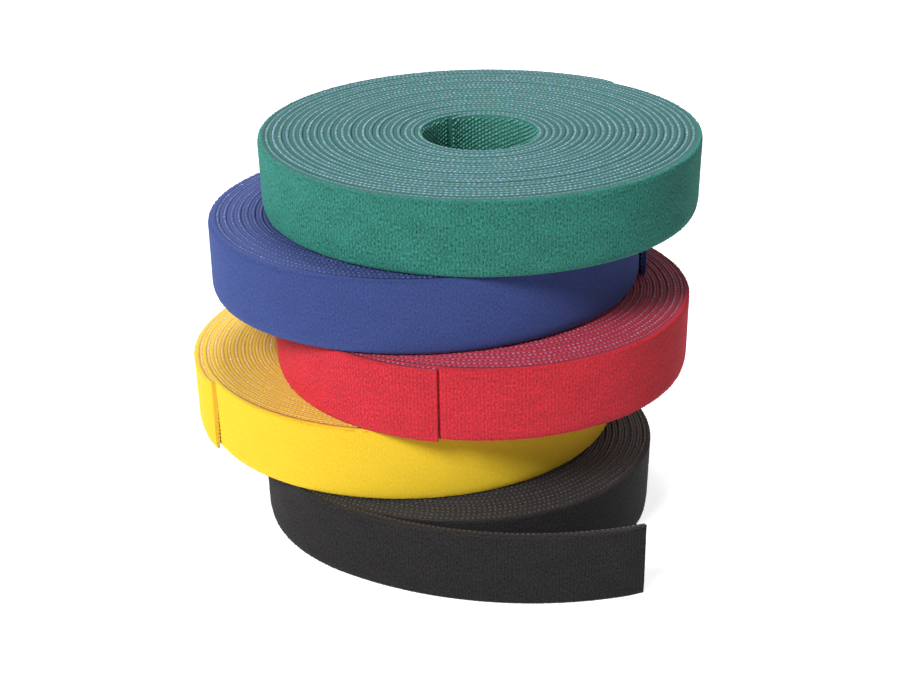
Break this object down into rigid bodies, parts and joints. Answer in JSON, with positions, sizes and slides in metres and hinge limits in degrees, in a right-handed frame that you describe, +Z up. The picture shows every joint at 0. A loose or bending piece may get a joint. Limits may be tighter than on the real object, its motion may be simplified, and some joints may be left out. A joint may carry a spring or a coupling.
{
  "type": "stack of hook and loop tape rolls",
  "caption": "Stack of coreless rolls of back-to-back hook and loop tape, each wound flat in its own colour, with free ends that peel and rolls that lift off.",
  "frame": {"origin": "on the floor, under the middle of the stack's bounding box", "axes": "+Z up through the rolls, +X to the right as pictured, +Y away from the viewer"},
  "size_m": [0.1104, 0.1096, 0.0812],
  "materials": {
    "black_loop": "brushed nylon loop pile, matt and fuzzy",
    "black_hook": "woven nylon web with rows of fine hooks",
    "yellow_loop": "brushed nylon loop pile, matt and fuzzy",
    "yellow_hook": "woven nylon web with rows of fine hooks",
    "red_loop": "brushed nylon loop pile, matt and fuzzy",
    "red_hook": "woven nylon web with rows of fine hooks",
    "blue_loop": "brushed nylon loop pile, matt and fuzzy",
    "blue_hook": "woven nylon web with rows of fine hooks",
    "green_loop": "brushed nylon loop pile, matt and fuzzy",
    "green_hook": "woven nylon web with rows of fine hooks"
  },
  "bodies": {
    "black_roll": {"black_winding": "black_loop"},
    "black_tail": {"black_tail_loop": "black_loop", "black_tail_hook": "black_hook"},
    "yellow_roll": {"yellow_winding": "yellow_loop"},
    "yellow_tail": {"yellow_tail_loop": "yellow_loop", "yellow_tail_hook": "yellow_hook"},
    "red_roll": {"red_winding": "red_loop"},
    "red_tail": {"red_tail_loop": "red_loop", "red_tail_hook": "red_hook"},
    "blue_roll": {"blue_winding": "blue_loop"},
    "blue_tail": {"blue_tail_loop": "blue_loop", "blue_tail_hook": "blue_hook"},
    "green_roll": {"green_winding": "green_loop"},
    "green_tail": {"green_tail_loop": "green_loop", "green_tail_hook": "green_hook"}
  },
  "joints": [
    {"name": "black_peel", "type": "hinge", "parent": "black_roll", "child": "black_tail", "pos_m": [-0.02073, -0.04177, 0.008], "axis": [0, 0, -1], "range_deg": [0, 75]},
    {"name": "yellow_lift", "type": "slide", "parent": "black_roll", "child": "yellow_roll", "axis": [0, 0, 1], "range_m": [0, 0.03]},
    {"name": "yellow_peel", "type": "hinge", "parent": "yellow_roll", "child": "yellow_tail", "pos_m": [-0.04763, 0.03179, 0.0243], "axis": [0, 0, -1], "range_deg": [0, 75]},
    {"name": "red_lift", "type": "slide", "parent": "yellow_roll", "child": "red_roll", "axis": [0, 0, 1], "range_m": [0, 0.03]},
    {"name": "red_peel", "type": "hinge", "parent": "red_roll", "child": "red_tail", "pos_m": [-0.03382, -0.01558, 0.0406], "axis": [0, 0, -1], "range_deg": [0, 75]},
    {"name": "blue_lift", "type": "slide", "parent": "red_roll", "child": "blue_roll", "axis": [0, 0, 1], "range_m": [0, 0.03]},
    {"name": "blue_peel", "type": "hinge", "parent": "blue_roll", "child": "blue_tail", "pos_m": [0.02354, 0.0434, 0.0569], "axis": [0, 0, 1], "range_deg": [0, 75]},
    {"name": "green_lift", "type": "slide", "parent": "blue_roll", "child": "green_roll", "axis": [0, 0, 1], "range_m": [0, 0.03]},
    {"name": "green_peel", "type": "hinge", "parent": "green_roll", "child": "green_tail", "pos_m": [-0.00521, 0.05246, 0.0732], "axis": [0, 0, 1], "range_deg": [0, 75]}
  ]
}
